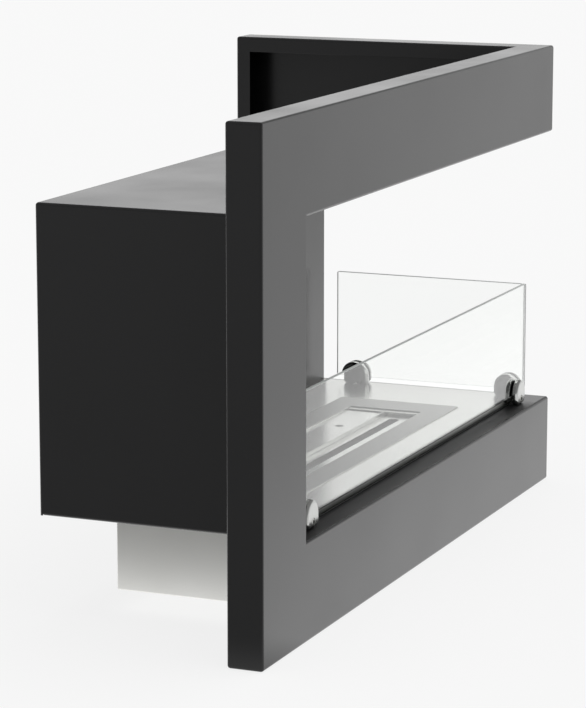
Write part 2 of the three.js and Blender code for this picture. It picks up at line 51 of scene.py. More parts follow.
SHEET = 1.5 * MM            # fascia and casing sheet
FOLD = 3 * MM               # outside radius of a fold in that sheet
FOLD_STEPS = 6
CUT_EDGE = 0.2 * MM         # broken edge of cut sheet
LIP = 17 * MM               # fascia's lip, folded in behind its outer edges
HEARTH_GAP = 0.5 * MM       # hearth plate to the post's return
BACK_WALL_SET = 5 * MM      # casing's back wall, forward of the rear post
THICK_EDGE = 0.3 * MM       # broken edge of the joiners and the lid
THIN_EDGE = 0.15 * MM       # of the sheets inside the burner, and of the clamps' castings
GUIDE_EDGE = 0.12 * MM      # of the lid's guides, the thinnest sheet

FLOOR_FLANGE = 21.5 * MM    # casing's left wall, flange on the hearth plate
FLANGE_RELIEF = 4 * MM      # notch at each end of that flange
TONGUE_GAP = 0.2 * MM       # shell's tongue behind the post, short of the hearth plate
BACK_WALL_STOP = 27 * MM    # back wall ends this far short of the open side face
WALL_HOLE = 4 * MM          # radius of the holes for wall screws
WALL_HOLE_INSET = 90 * MM
WALL_HOLE_DROP = 41.5 * MM  # from the roof's top

BURNER_SHEET = 1.2 * MM
RIM_ENDS = 44 * MM          # burner's rim: width at the ends and along the sides
RIM_SIDES = 28.5 * MM
RECESS_DEPTH = 5 * MM
SLOT_FRONT = 15 * MM        # flame slot, from the recess's front wall
SLOT_WIDTH = 12 * MM
SLOT_END = 24 * MM
HOUSING_FLANGE = 8 * MM
HOUSING_CORNER = 1.6 * MM
TANK_CORNER = 2 * MM
LEAST_CORNER = 0.2 * MM     # keeps the points of a ring apart when it is drawn in

CROWN_STEPS = 40            # facets round a clamp's half-round top
CORNER_STEPS = 6            # facets round a small corner
ROUND_STEPS = 8             # facets across a cheek's rounded rim
CHEEK_ROUND = 3.6 * MM
CLAMP_WIDTH = 30 * MM
CLAMP_HEIGHT = 25.7 * MM    # above the hearth, as photographed; the solids' crowns stand 6.5 mm higher
PAD_INSET = 2 * MM
JAW_FOOT = 7 * MM
BASE_FOOT = 4 * MM
LEAST_FOOT = 0.15 * MM
FOOT_WIDTH = 22 * MM
FOOT_BITE = 0.5 * MM        # how far the foot reaches into the base's cheek
FOOT_GAP = 0.3 * MM         # under the glass
SEAT_GAP = 0.2 * MM         # round a clamp screw's head
CLAMPS = {"front_left": False, "front_right": False, "side_front": True, "side_rear": True}

FASTENER_SIDES = 28
HEAD_STEPS = 14             # rows of facets up a domed head
DOME_END = 0.995            # share of the head's height at which its small flat top begins
CLAMP_SCREW = {
    "Head Radius": 3.8 * MM, "Head Height": 2.2 * MM, "Crown": 7.0, "Shank Radius": 2 * MM,
    "Shank Length": 8 * MM, "Tail Radius": 1.7 * MM, "Tail Length": 2.8 * MM,
    "Socket Radius": 2.2 * MM, "Socket Depth": 1.7 * MM}
MOUNT_SCREW = {**CLAMP_SCREW, "Crown": 3.0, "Shank Length": 13 * MM, "Tail Length": 2.9 * MM}
RIVET = {
    "Head Radius": 4 * MM, "Head Height": 1.2 * MM, "Crown": 2.2, "Shank Radius": 2 * MM,
    "Shank Length": 3 * MM, "Tail Radius": 3 * MM, "Tail Length": 2.9 * MM,
    "Socket Radius": 0.9 * MM, "Socket Depth": 0.5 * MM}

PAINTED_SHADE_STRIP = 14 * MM        # of the hearth's front: painted shade at the glass's foot, darkened and dulled towards the sill
DRY_END = (0.33, 0.38)      # X, in metres, between which the sill's dry film turns satin

CAMERA_PLACE = (-2.801508, -1.218759, 0.797968)     # fitted to the photographed straight edges
CAMERA_YAW = math.radians(22.768)
CAMERA_PITCH = math.radians(10.965)
CAMERA_LENS = 151.888
CAMERA_REACH = 300          # metres, past the floor's far edge


def low(node_name):
    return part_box(node_name)[0]


def high(node_name):
    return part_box(node_name)[1]


# ---- Materials -------------------------------------------------------------------------------------


def colour(code):
    """An sRGB hex code as the linear colour that shaders take."""
    channels = [int(code[i:i + 2], 16) / 255 for i in (1, 3, 5)]
    return (*[c / 12.92 if c <= 0.04045 else ((c + 0.055) / 1.055) ** 2.4 for c in channels], 1)


def node(tree, kind, inputs=(), **settings):
    """A node with its settings, and its inputs given as values or as sockets to link."""
    made = tree.nodes.new(kind)
    for key, value in settings.items():
        setattr(made, key, value)
    for key, value in dict(inputs).items():
        if isinstance(value, bpy.types.NodeSocket):
            tree.links.new(value, made.inputs[key])
        else:
            made.inputs[key].default_value = value
    return made


def new_material(name):
    """A material and its empty tree."""
    made = bpy.data.materials.new(name)
    made.use_nodes = True
    made.node_tree.nodes.clear()
    return made, made.node_tree


def shade(tree, inputs):
    """Gives a material its one Principled shader."""
    shader = node(tree, "ShaderNodeBsdfPrincipled", inputs)
    node(tree, "ShaderNodeOutputMaterial", {"Surface": shader.outputs["BSDF"]})


def axes(tree, space="Object"):
    """A point's X, Y and Z, as sockets."""
    place = node(tree, "ShaderNodeTexCoord").outputs[space]
    return node(tree, "ShaderNodeSeparateXYZ", {0: place}).outputs


def pattern(tree, scale, stretch=(1, 1, 1), detail=2.0):
    """Noise in Object coordinates; scale is features per metre, stretch scales it along each axis."""
    place = node(tree, "ShaderNodeTexCoord")
    mapped = node(tree, "ShaderNodeMapping", {"Vector": place.outputs["Object"], "Scale": stretch})
    grain = node(tree, "ShaderNodeTexNoise", {
        "Vector": mapped.outputs["Vector"], "Scale": scale, "Detail": detail})
    return grain.outputs["Fac"]


def spread(tree, source, start, end, low_in=0.3, high_in=0.7):
    """A 0 to 1 pattern turned into values between start and end."""
    made = node(tree, "ShaderNodeMapRange", {
        "Value": source, "From Min": low_in, "From Max": high_in, "To Min": start, "To Max": end})
    return made.outputs["Result"]


def tinted(tree, source, first, second):
    """A 0 to 1 pattern turned into a colour between two."""
    return node(tree, "ShaderNodeMix", {0: source, 6: first, 7: second}, data_type="RGBA").outputs[2]


def chosen(tree, switch, if_off, if_on):
    """One of two values, by a 0 or 1 switch."""
    return node(tree, "ShaderNodeMix", {0: switch, 2: if_off, 3: if_on}, data_type="FLOAT").outputs[0]


def relief(tree, height, depth):
    """A bump of the given depth in metres."""
    return node(tree, "ShaderNodeBump", {"Height": height, "Distance": depth}).outputs["Normal"]


def satin_powder_coat():
    # Black polyester powder, sprayed and baked: a near-black film whose skin flows into a very fine
    # orange peel, so it mirrors the room softly at a glancing angle and is dark when faced.
    made, tree = new_material("satin_powder_coat_black")
    peel = pattern(tree, 420, detail=1.0)
    cloud = pattern(tree, 9)
    shade(tree, {
        "IOR": 1.56,
        "Base Color": tinted(tree, cloud, colour("#121213"), colour("#171718")),
        "Roughness": spread(tree, cloud, 0.2, 0.26),
        "Normal": relief(tree, peel, 0.012 * MM)})
    return made


def dry_powder_coat():
    # The same powder on the sill at the foot of the glass, where the window's returns keep some of it
    # off: a drier, matt film that turns satin again towards the open corner.
    made, tree = new_material("dry_powder_coat_black")
    cloud = pattern(tree, 9)
    shade(tree, {
        "IOR": 1.45,
        "Base Color": tinted(tree, cloud, colour("#101011"), colour("#141415")),
        "Roughness": spread(tree, axes(tree)["X"], 0.5, 0.22, *DRY_END)})
    return made


def polished_steel():
    # Stainless steel sheet, mirror polished: pale, almost neutral, with long faint polishing lines
    # along the sheet and a slow waviness that bends what it mirrors. Along its front edge under the
    # glass a painted shade darkens and dulls it softly towards the sill, standing in for the dark
    # reflection there.
    made, tree = new_material("polished_stainless_steel")
    lines = pattern(tree, 60, stretch=(1, 40, 40), detail=3.0)
    wave = pattern(tree, 14, detail=0.0)
    bright = tinted(tree, lines, colour("#cfcfcc"), colour("#d7d7d4"))
    gloss = spread(tree, lines, 0.21, 0.25)
    front = low("hearth_plate").y
    # painted shade: 1 at the plate's front edge, fading to 0 across the strip; darkens and dulls the
    # steel there
    painted_shade = spread(tree, axes(tree)["Y"], 1, 0, front, front + PAINTED_SHADE_STRIP)
    shade(tree, {
        "Metallic": 1.0,
        "Base Color": tinted(tree, painted_shade, bright, colour("#30332f")),
        "Roughness": chosen(tree, painted_shade, gloss, 0.75),
        "Normal": relief(tree, wave, 0.12 * MM)})
    return made


def satin_steel():
    # The same sheet where a plain band is left by the polishing: ground fine, so its reflections are
    # broad and it reads a step darker than the polished plate beside it.
    made, tree = new_material("satin_stainless_steel")
    lines = pattern(tree, 120, stretch=(1, 25, 25), detail=3.0)
    shade(tree, {
        "Metallic": 1.0,
        "Base Color": tinted(tree, lines, colour("#aaaaa8"), colour("#b4b4b2")),
        "Roughness": spread(tree, lines, 0.44, 0.52),
        "Normal": relief(tree, lines, 0.006 * MM)})
    return made


def cast_steel():
    # Stainless steel castings, tumbled and polished: bright, with softer reflections than the sheet.
    made, tree = new_material("tumbled_stainless_steel")
    pits = pattern(tree, 900)
    shade(tree, {
        "Metallic": 1.0,
        "Base Color": tinted(tree, pits, colour("#b4b5b3"), colour("#c3c4c2")),
        "Roughness": spread(tree, pits, 0.14, 0.22),
        "Normal": relief(tree, pits, 0.004 * MM)})
    return made


def brushed_steel():
    # Stainless steel sheet as milled: belt-brushed along its length, so a broad soft sheen with
    # fine lines, and slow patches where the belt wore.
    made, tree = new_material("brushed_stainless_steel")
    lines = pattern(tree, 90, stretch=(1, 30, 30), detail=4.0)
    patches = pattern(tree, 16)
    shade(tree, {
        "Metallic": 1.0,
        "Anisotropic": 0.4,
        "Base Color": tinted(tree, patches, colour("#dcdcd8"), colour("#e7e7e4")),
        "Roughness": spread(tree, lines, 0.32, 0.46),
        "Normal": relief(tree, lines, 0.01 * MM)})
    return made


def zinc_steel():
    # Zinc-plated steel: greyer than stainless, with the faint blue and straw of its passivation.
    made, tree = new_material("zinc_plated_steel")
    film = pattern(tree, 160)
    shade(tree, {
        "Metallic": 1.0,
        "Base Color": tinted(tree, film, colour("#aeb3ba"), colour("#bdb9a8")),
        "Roughness": spread(tree, film, 0.26, 0.4)})
    return made


def float_glass():
    # Toughened float glass, 4 mm: almost no colour through its faces.
    made, tree = new_material("float_glass_toughened")
    shade(tree, {
        "IOR": 1.5, "Base Color": colour("#fefffe"), "Roughness": 0.0, "Transmission Weight": 1.0})
    return made


def ground_glass():
    # The pane's ground and seamed edge: a fine frosted grey-green that catches light as a line.
    made, tree = new_material("float_glass_ground_edge")
    frost = pattern(tree, 1500)
    shade(tree, {
        "IOR": 1.5,
        "Base Color": tinted(tree, frost, colour("#c6cac8"), colour("#d4d7d5")),
        "Roughness": spread(tree, frost, 0.35, 0.55)})
    return made


def black_rubber():
    # Heat-resistant silicone sheet, cut: dull and dark, with a dusty sheen.
    made, tree = new_material("silicone_rubber_black")
    dust = pattern(tree, 700, detail=3.0)
    shade(tree, {
        "IOR": 1.45,
        "Base Color": tinted(tree, dust, colour("#18181a"), colour("#222224")),
        "Roughness": spread(tree, dust, 0.7, 0.85)})
    return made


def ceramic_wool():
    # Needled ceramic fibre blanket: off-white, dry, with short matted fibres.
    made, tree = new_material("ceramic_fibre_blanket")
    fibre = pattern(tree, 260, stretch=(1, 5, 1), detail=5.0)
    shade(tree, {
        "IOR": 1.45,
        "Base Color": tinted(tree, fibre, colour("#d8d3c4"), colour("#efebdf")),
        "Roughness": spread(tree, fibre, 0.85, 1.0),
        "Normal": relief(tree, fibre, 0.5 * MM)})
    return made


COAT = satin_powder_coat()
DRY_COAT = dry_powder_coat()
POLISHED = polished_steel()
SATIN = satin_steel()
CAST = cast_steel()
BRUSHED = brushed_steel()
ZINC = zinc_steel()
GLASS = float_glass()
GLASS_EDGE = ground_glass()
RUBBER = black_rubber()
WOOL = ceramic_wool()

# ---- Making and finishing pieces -------------------------------------------------------------------


def linked(name, mesh):
    made = bpy.data.objects.new(name, mesh)
    bpy.context.scene.collection.objects.link(made)
    return made


def from_bmesh(name, shape):
    mesh = bpy.data.meshes.new(name)
    shape.to_mesh(mesh)
    shape.free()
    return linked(name, mesh)


def bake(piece):
    """Puts the result of the piece's modifiers in its mesh."""
    graph = bpy.context.evaluated_depsgraph_get()
    mesh = bpy.data.meshes.new_from_object(piece.evaluated_get(graph), depsgraph=graph)
    piece.modifiers.clear()
    piece.data = mesh


def modify(piece, kind, **settings):
    made = piece.modifiers.new(kind.title(), kind)
    for key, value in settings.items():
        setattr(made, key, value)


def break_edges(piece, width, steps=2, angle=50):
    modify(piece, "BEVEL", width=width, segments=steps, limit_method="ANGLE",
           angle_limit=math.radians(angle), use_clamp_overlap=True)


def thicken(piece, thickness):
    modify(piece, "SOLIDIFY", thickness=thickness, offset=-1, use_even_offset=True,
           use_quality_normals=True)


def smooth(piece, angle=35):
    """Shades round stretches smooth and keeps flat faces flat."""
    bake(piece)
    piece.data.shade_smooth()
    piece.data.set_sharp_from_angle(angle=math.radians(angle))
    modify(piece, "WEIGHTED_NORMAL", keep_sharp=True, weight=80)
    bake(piece)


def finish(piece, body, materials, nodes):
    """Gives a piece its materials and its place in the model."""
    piece.data.materials.clear()
    for made in materials:
        piece.data.materials.append(made)
    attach(piece, body)
    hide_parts(*nodes)


def combine(piece, others, operation):
    """Cuts away or joins on other closed meshes, which are then removed."""
    for other in others:
        modify(piece, "BOOLEAN", object=other, operation=operation, solver="EXACT")
    bake(piece)
    for other in others:
        bpy.data.objects.remove(other)


def cylinder(radius, start, end):
    shape = bmesh.new()
    span = end - start
    turn = span.to_track_quat("Z", "Y").to_matrix().to_4x4()
    bmesh.ops.create_cone(shape, cap_ends=True, segments=32, radius1=radius, radius2=radius,
                          depth=span.length, matrix=Matrix.Translation((start + end) / 2) @ turn)
    return from_bmesh("cylinder", shape)


def box_between(first, second, name="box"):
    shape = bmesh.new()
    size = Matrix.Diagonal((*(second - first), 1))
    bmesh.ops.create_cube(shape, size=1, matrix=Matrix.Translation((first + second) / 2) @ size)
    return from_bmesh(name, shape)


def folded_sheet(name, plates):
    """Sheet metal from the outer faces of its plates: shared edges that stand out are folded round."""
    shape = bmesh.new()
    for outward, points in plates:
        face = shape.faces.new([shape.verts.new(p) for p in points])
        face.normal_update()
        if face.normal.dot(Vector(outward)) < 0:
            face.normal_flip()
    bmesh.ops.remove_doubles(shape, verts=shape.verts, dist=0.01 * MM)
    folds = [e for e in shape.edges if len(e.link_faces) == 2 and e.calc_face_angle_signed() > 0.1]
    bmesh.ops.bevel(shape, geom=folds, offset=FOLD, offset_type="OFFSET", segments=FOLD_STEPS,
                    profile=0.5, affect="EDGES", clamp_overlap=False)
    sheet = from_bmesh(name, shape)
    thicken(sheet, SHEET)
    return sheet


def ring(x0, x1, y0, y1, corner, z):
    """A rounded rectangle at a height, always with the same number of points."""
    points = []
    centres = [(x1 - corner, y0 + corner), (x1 - corner, y1 - corner),
               (x0 + corner, y1 - corner), (x0 + corner, y0 + corner)]
    for quarter, (x, y) in enumerate(centres):
        for step in range(CORNER_STEPS + 1):
            angle = math.pi / 2 * (quarter - 1 + step / CORNER_STEPS)
            points.append(Vector((x + corner * math.cos(angle), y + corner * math.sin(angle), z)))
    return points


def skinned(name, rings, close_start=False, close_end=False, place=Matrix.Identity(4)):
    """A skin over rings of points of equal count, closed by a face at either end if asked."""
    shape = bmesh.new()
    rows = [[shape.verts.new(place @ p) for p in points] for points in rings]
    for first, second in zip(rows, rows[1:]):
        for i in range(len(first)):
            j = (i + 1) % len(first)
            shape.faces.new((first[i], first[j], second[j], second[i]))
    if close_start:
        shape.faces.new(list(reversed(rows[0])))
    if close_end:
        shape.faces.new(rows[-1])
    bmesh.ops.recalc_face_normals(shape, faces=shape.faces)
    return from_bmesh(name, shape)


def arc(inset, height, radius, start, end, steps=FOLD_STEPS):
    """Pairs of inset and height along an arc; angles in degrees."""
    angles = [math.radians(start + (end - start) * i / steps) for i in range(steps + 1)]
    return [(inset + radius * math.cos(a), height + radius * math.sin(a)) for a in angles]


def dress(node_name, body, material, edge):
    """A CAD node's own shape with its faces joined up, its edges broken and its rounds shaded smooth."""
    shape = bmesh.new()
    shape.from_mesh(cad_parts[node_name].data)
    bmesh.ops.remove_doubles(shape, verts=shape.verts, dist=0.002 * MM)
    bmesh.ops.dissolve_limit(shape, angle_limit=math.radians(0.5), verts=shape.verts, edges=shape.edges)
    piece = from_bmesh(node_name + "_finished", shape)
    break_edges(piece, edge)
    smooth(piece)
    finish(piece, body, [material], [node_name])


# ---- Fascia ----------------------------------------------------------------------------------------

LEFT, FRONT, BOTTOM = low("front_fascia")
RIGHT, REAR, TOP = high("side_fascia")
SIDE_BACK = low("side_fascia").x
FRONT_BACK = FRONT + (RIGHT - SIDE_BACK)
SILL = low("casing_floor").z
HEAD = high("casing_roof").z
POST = low("hearth_plate").x - HEARTH_GAP
REAR_POST = high("casing_shell").y + BACK_WALL_SET


def make_fascia():
    """One welded tray round the open corner: faces, outer edges, window returns and rear lips."""
    def level(z, corners):
        return [(x, y, z) for x, y in corners]

    def across(y, corners):
        return [(x, y, z) for x, z in corners]

    def along(x, corners):
        return [(x, y, z) for y, z in corners]

    face = [(LEFT, BOTTOM), (RIGHT, BOTTOM), (RIGHT, SILL), (POST, SILL),
            (POST, HEAD), (RIGHT, HEAD), (RIGHT, TOP), (LEFT, TOP)]
    side_face = [(FRONT, BOTTOM), (REAR, BOTTOM), (REAR, TOP), (FRONT, TOP),
                 (FRONT, HEAD), (REAR_POST, HEAD), (REAR_POST, SILL), (FRONT, SILL)]
    lips = [(LEFT, BOTTOM), (SIDE_BACK, BOTTOM), (SIDE_BACK, BOTTOM + LIP), (LEFT + LIP, BOTTOM + LIP),
            (LEFT + LIP, TOP - LIP), (SIDE_BACK, TOP - LIP), (SIDE_BACK, TOP), (LEFT, TOP)]
    side_lips = [(FRONT_BACK, BOTTOM), (REAR, BOTTOM), (REAR, TOP), (FRONT_BACK, TOP),
                 (FRONT_BACK, TOP - LIP), (REAR - LIP, TOP - LIP), (REAR - LIP, BOTTOM + LIP),
                 (FRONT_BACK, BOTTOM + LIP)]
    edge = [(LEFT, FRONT), (RIGHT, FRONT), (RIGHT, REAR), (SIDE_BACK, REAR),
            (SIDE_BACK, FRONT_BACK), (LEFT, FRONT_BACK)]
    window = [(POST, FRONT), (RIGHT, FRONT), (RIGHT, REAR_POST), (SIDE_BACK, REAR_POST),
              (SIDE_BACK, FRONT_BACK), (POST, FRONT_BACK)]
    end = [(FRONT, BOTTOM), (FRONT_BACK, BOTTOM), (FRONT_BACK, TOP), (FRONT, TOP)]
    rear_end = [(SIDE_BACK, BOTTOM), (RIGHT, BOTTOM), (RIGHT, TOP), (SIDE_BACK, TOP)]
    post = [(FRONT, SILL), (FRONT_BACK, SILL), (FRONT_BACK, HEAD), (FRONT, HEAD)]
    rear_post = [(SIDE_BACK, SILL), (RIGHT, SILL), (RIGHT, HEAD), (SIDE_BACK, HEAD)]
    tray = folded_sheet("fascia", [
        ((0, -1, 0), across(FRONT, face)),
        ((1, 0, 0), along(RIGHT, side_face)),
        ((-1, 0, 0), along(LEFT, end)),
        ((0, 1, 0), across(REAR, rear_end)),
        ((0, 0, -1), level(BOTTOM, edge)),
        ((0, 0, 1), level(TOP, edge)),
        ((0, 0, 1), level(SILL, window)),
        ((0, 0, -1), level(HEAD, window)),
        ((1, 0, 0), along(POST, post)),
        ((0, -1, 0), across(REAR_POST, rear_post)),
        ((0, 1, 0), across(FRONT_BACK, lips)),
        ((-1, 0, 0), along(SIDE_BACK, side_lips)),
    ])
    break_edges(tray, CUT_EDGE)
    smooth(tray)
    finish(tray, "root", [COAT, DRY_COAT], ["front_fascia", "side_fascia"])
    for face in tray.data.polygons:
        level_up = face.normal.z > 0.9
        face.material_index = 1 if level_up and abs(face.center.z - SILL) < CUT_EDGE else 0


# ---- Casing ----------------------------------------------------------------------------------------


def make_casing():
    """The shell: left wall with its flanges, back wall, and the roof welded on."""
    left, back, foot = low("casing_shell").x, high("casing_shell").y, low("casing_shell").z
    roof_front, roof_right, roof = low("casing_roof").y, high("casing_roof").x, high("casing_roof").z
    tongue = low("hearth_plate").x - TONGUE_GAP
    wall_end = RIGHT - BACK_WALL_STOP
    flange_front = FRONT_BACK + FLANGE_RELIEF
    flange_rear = back - FLANGE_RELIEF
    shell = folded_sheet("casing_shell_folded", [
        ((-1, 0, 0), [(left, FRONT_BACK, foot), (left, flange_front, foot), (left, flange_rear, foot),
                      (left, back, foot), (left, back, roof), (left, FRONT_BACK, roof)]),
        ((0, 0, -1), [(left, flange_front, foot), (left + FLOOR_FLANGE, flange_front, foot),
                      (left + FLOOR_FLANGE, flange_rear, foot), (left, flange_rear, foot)]),
        ((0, -1, 0), [(left, FRONT_BACK, foot), (tongue, FRONT_BACK, foot), (tongue, FRONT_BACK, roof),
                      (left, FRONT_BACK, roof)]),
        ((0, 1, 0), [(left, back, foot), (wall_end, back, foot), (wall_end, back, roof),
                     (left, back, roof)]),
        ((0, 0, 1), [(left, FRONT_BACK, roof), (tongue, FRONT_BACK, roof), (tongue, roof_front, roof),
                     (roof_right, roof_front, roof), (roof_right, back, roof), (wall_end, back, roof),
                     (left, back, roof)]),
    ])
    bake(shell)
    holes = []
    for x in (left + WALL_HOLE_INSET, wall_end - WALL_HOLE_INSET):
        middle = Vector((x, back, roof - WALL_HOLE_DROP))
        reach = Vector((0, 4 * SHEET, 0))
        holes.append(cylinder(WALL_HOLE, middle - reach, middle + reach))
    combine(shell, holes, "DIFFERENCE")
    break_edges(shell, CUT_EDGE)
    smooth(shell)
    finish(shell, "root", [COAT], ["casing_shell", "casing_roof"])


# ---- Burner ----------------------------------------------------------------------------------------


def framed(box, corner, inset, z):
    """A ring round a node's plan, drawn in by an inset."""
    first, second = box
    return ring(first.x + inset, second.x - inset, first.y + inset, second.y - inset,
                max(corner - inset, LEAST_CORNER), z)


def make_open_box(node_name, body, corner, mouth):
    """A box with folded bottom edges and welded corners; mouth is its profile above the walls."""
    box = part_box(node_name)
    profile = arc(corner, box[0].z + corner, corner, 270, 180) + mouth
    made = skinned(node_name + "_folded", [framed(box, corner, i, z) for i, z in profile],
                   close_start=True)
    thicken(made, BURNER_SHEET)
    break_edges(made, CUT_EDGE)
    smooth(made)
    finish(made, body, [BRUSHED], [node_name])


def make_housing():
    """The box under the casing, with a flange round its mouth."""
    top = high("burner_housing").z
    mouth = arc(HOUSING_CORNER, top - HOUSING_CORNER, HOUSING_CORNER, 180, 90) + [(HOUSING_FLANGE, top)]
    make_open_box("burner_housing", "root", HOUSING_CORNER, mouth)


def make_tank():
    make_open_box("fuel_tank", "burner", TANK_CORNER, [(0, high("fuel_tank").z)])


def make_burner_top():
    """A pressed plate: rim with a turned edge, recess with drawn corners, and the flame slot."""
    first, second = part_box("burner_top")
    rim = second.z
    x0, x1 = first.x + RIM_ENDS, second.x - RIM_ENDS
    y0, y1 = first.y + RIM_SIDES, second.y - RIM_SIDES
    deck = rim - RECESS_DEPTH
    edge, drawn, fillet = 0.8 * MM, 1.2 * MM, 0.5 * MM
    rim_corner, recess_corner = 1.5 * MM, 2 * MM
    slot_corner = SLOT_WIDTH / 2 - 0.05 * MM    # a touch less than half, to keep its points apart
    outer = [(0, rim - BURNER_SHEET)] + arc(edge, rim - edge, edge, 180, 90)
    rings = [ring(first.x + i, second.x - i, first.y + i, second.y - i, rim_corner - i, z)
             for i, z in outer]
    recess = arc(-drawn, rim - drawn, drawn, 90, 0) + arc(fillet, deck + fillet, fillet, 180, 270)
    rings += [ring(x0 + i, x1 - i, y0 + i, y1 - i, recess_corner - i, z) for i, z in recess]
    slot = (x0 + SLOT_END, x1 - SLOT_END, y0 + SLOT_FRONT, y0 + SLOT_FRONT + SLOT_WIDTH)
    rings.append(ring(*slot, slot_corner, deck))
    plate = skinned("burner_top_pressed", rings)
    thicken(plate, BURNER_SHEET)
    break_edges(plate, CUT_EDGE)
    smooth(plate)
    finish(plate, "burner", [POLISHED, SATIN], ["burner_top"])
    for face in plate.data.polygons:
        face.material_index = 1 if face.center.z > rim - BURNER_SHEET else 0


def make_wool():
    """Cut blocks of fibre blanket, slightly uneven, with soft edges."""
    noise.seed_set(1)       # else the clock seeds the noise, and each run gives another surface
    soft_edge, unevenness, cell = 3 * MM, 0.8 * MM, 5 * MM
    for side in ("left", "middle", "right"):
        first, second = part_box("ceramic_wool_" + side)
        margin = Vector((unevenness, unevenness, unevenness))
        block = box_between(first + margin, second - margin, "wool_" + side)
        break_edges(block, soft_edge, steps=3)
        modify(block, "REMESH", mode="VOXEL", voxel_size=cell / 2)
        bake(block)
        for vertex in block.data.vertices:
            shift = noise.noise_vector(vertex.co / cell) * unevenness
            vertex.co += shift
            vertex.co = Vector([min(max(c, a), b) for c, a, b in zip(vertex.co, first, second)])
        block.data.shade_smooth()
        finish(block, "burner", [WOOL], ["ceramic_wool_" + side])


# ---- Glass -----------------------------------------------------------------------------------------


def make_pane(node_name, to_side):
    """A pane that is clear through its faces and its foot, with the rest of its edge ground."""
    first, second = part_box(node_name)
    corner, seam = 2 * MM, 0.4 * MM
    if to_side:
        across, thick = (first.y, second.y), (first.x, second.x)
        place = Matrix(((0, 0, 1, 0), (1, 0, 0, 0), (0, 1, 0, 0), (0, 0, 0, 1)))
    else:
        across, thick = (first.x, second.x), (first.y, second.y)
        place = Matrix(((1, 0, 0, 0), (0, 0, 1, 0), (0, 1, 0, 0), (0, 0, 0, 1)))
    steps = [(seam, thick[0]), (0, thick[0] + seam), (0, thick[1] - seam), (seam, thick[1])]
    rings = [ring(across[0] + i, across[1] - i, first.z + i, second.z - i, corner - i, depth)
             for i, depth in steps]
    pane = skinned(node_name + "_ground", rings, close_start=True, close_end=True, place=place)
    finish(pane, "root", [GLASS, GLASS_EDGE], [node_name])
    for face in pane.data.polygons:
        at_foot = face.center.z < first.z + corner
        face.material_index = 0 if len(face.vertices) > 4 or at_foot else 1


# ---- Clamps ----------------------------------------------------------------------------------------

CLAMP_TOP = high("hearth_plate").z + CLAMP_HEIGHT


def cheek_ring(bottom, top, width, foot, inset, out):
    """A cheek's outline: half-round top, straight sides and rounded feet. x along the glass, y out."""
    half = width / 2 - inset
    crown = top - width / 2
    foot = max(foot - inset, LEAST_FOOT)
    base = bottom + inset
    points = []
    for step in range(CROWN_STEPS + 1):
        angle = math.pi * step / CROWN_STEPS
        points.append((half * math.cos(angle), crown + half * math.sin(angle)))
    for centre, start in ((-half + foot, math.pi), (half - foot, 1.5 * math.pi)):
        for step in range(CORNER_STEPS + 1):
            angle = start + math.pi / 2 * step / CORNER_STEPS
            points.append((centre + foot * math.cos(angle), base + foot + foot * math.sin(angle)))
    return [Vector((x, out, z)) for x, z in points]


def make_cheek(name, node_name, foot, place, glass_side, outside):
    """A cheek with a flat face on its pad and a fully rounded rim outside."""
    seam = 0.3 * MM
    out = 1 if outside > glass_side else -1
    steps = [(seam, glass_side), (0, glass_side + out * seam)]
    for i, reach in arc(CHEEK_ROUND, 0, CHEEK_ROUND, 180, 90, ROUND_STEPS):
        steps.append((i, outside - out * (CHEEK_ROUND - reach)))
    rings = [cheek_ring(low(node_name).z, CLAMP_TOP, CLAMP_WIDTH, foot, i, depth) for i, depth in steps]
    return skinned(name, rings, close_start=True, close_end=True, place=place)


def make_pad(name, node_name, place, glass_side, outside):
    """A cut rubber pad with the outline of its cheek, drawn in a little."""
    seam = 0.15 * MM
    out = 1 if outside > glass_side else -1
    steps = [(seam, glass_side), (0, glass_side + out * seam), (0, outside - out * seam), (seam, outside)]
    bottom = low(node_name).z - PAD_INSET
    rings = [cheek_ring(bottom, CLAMP_TOP, CLAMP_WIDTH, 2 * PAD_INSET, PAD_INSET + i, depth)
             for i, depth in steps]
    pad = skinned(name, rings, close_start=True, close_end=True, place=place)
    smooth(pad, 40)
    finish(pad, "root", [RUBBER], [node_name])


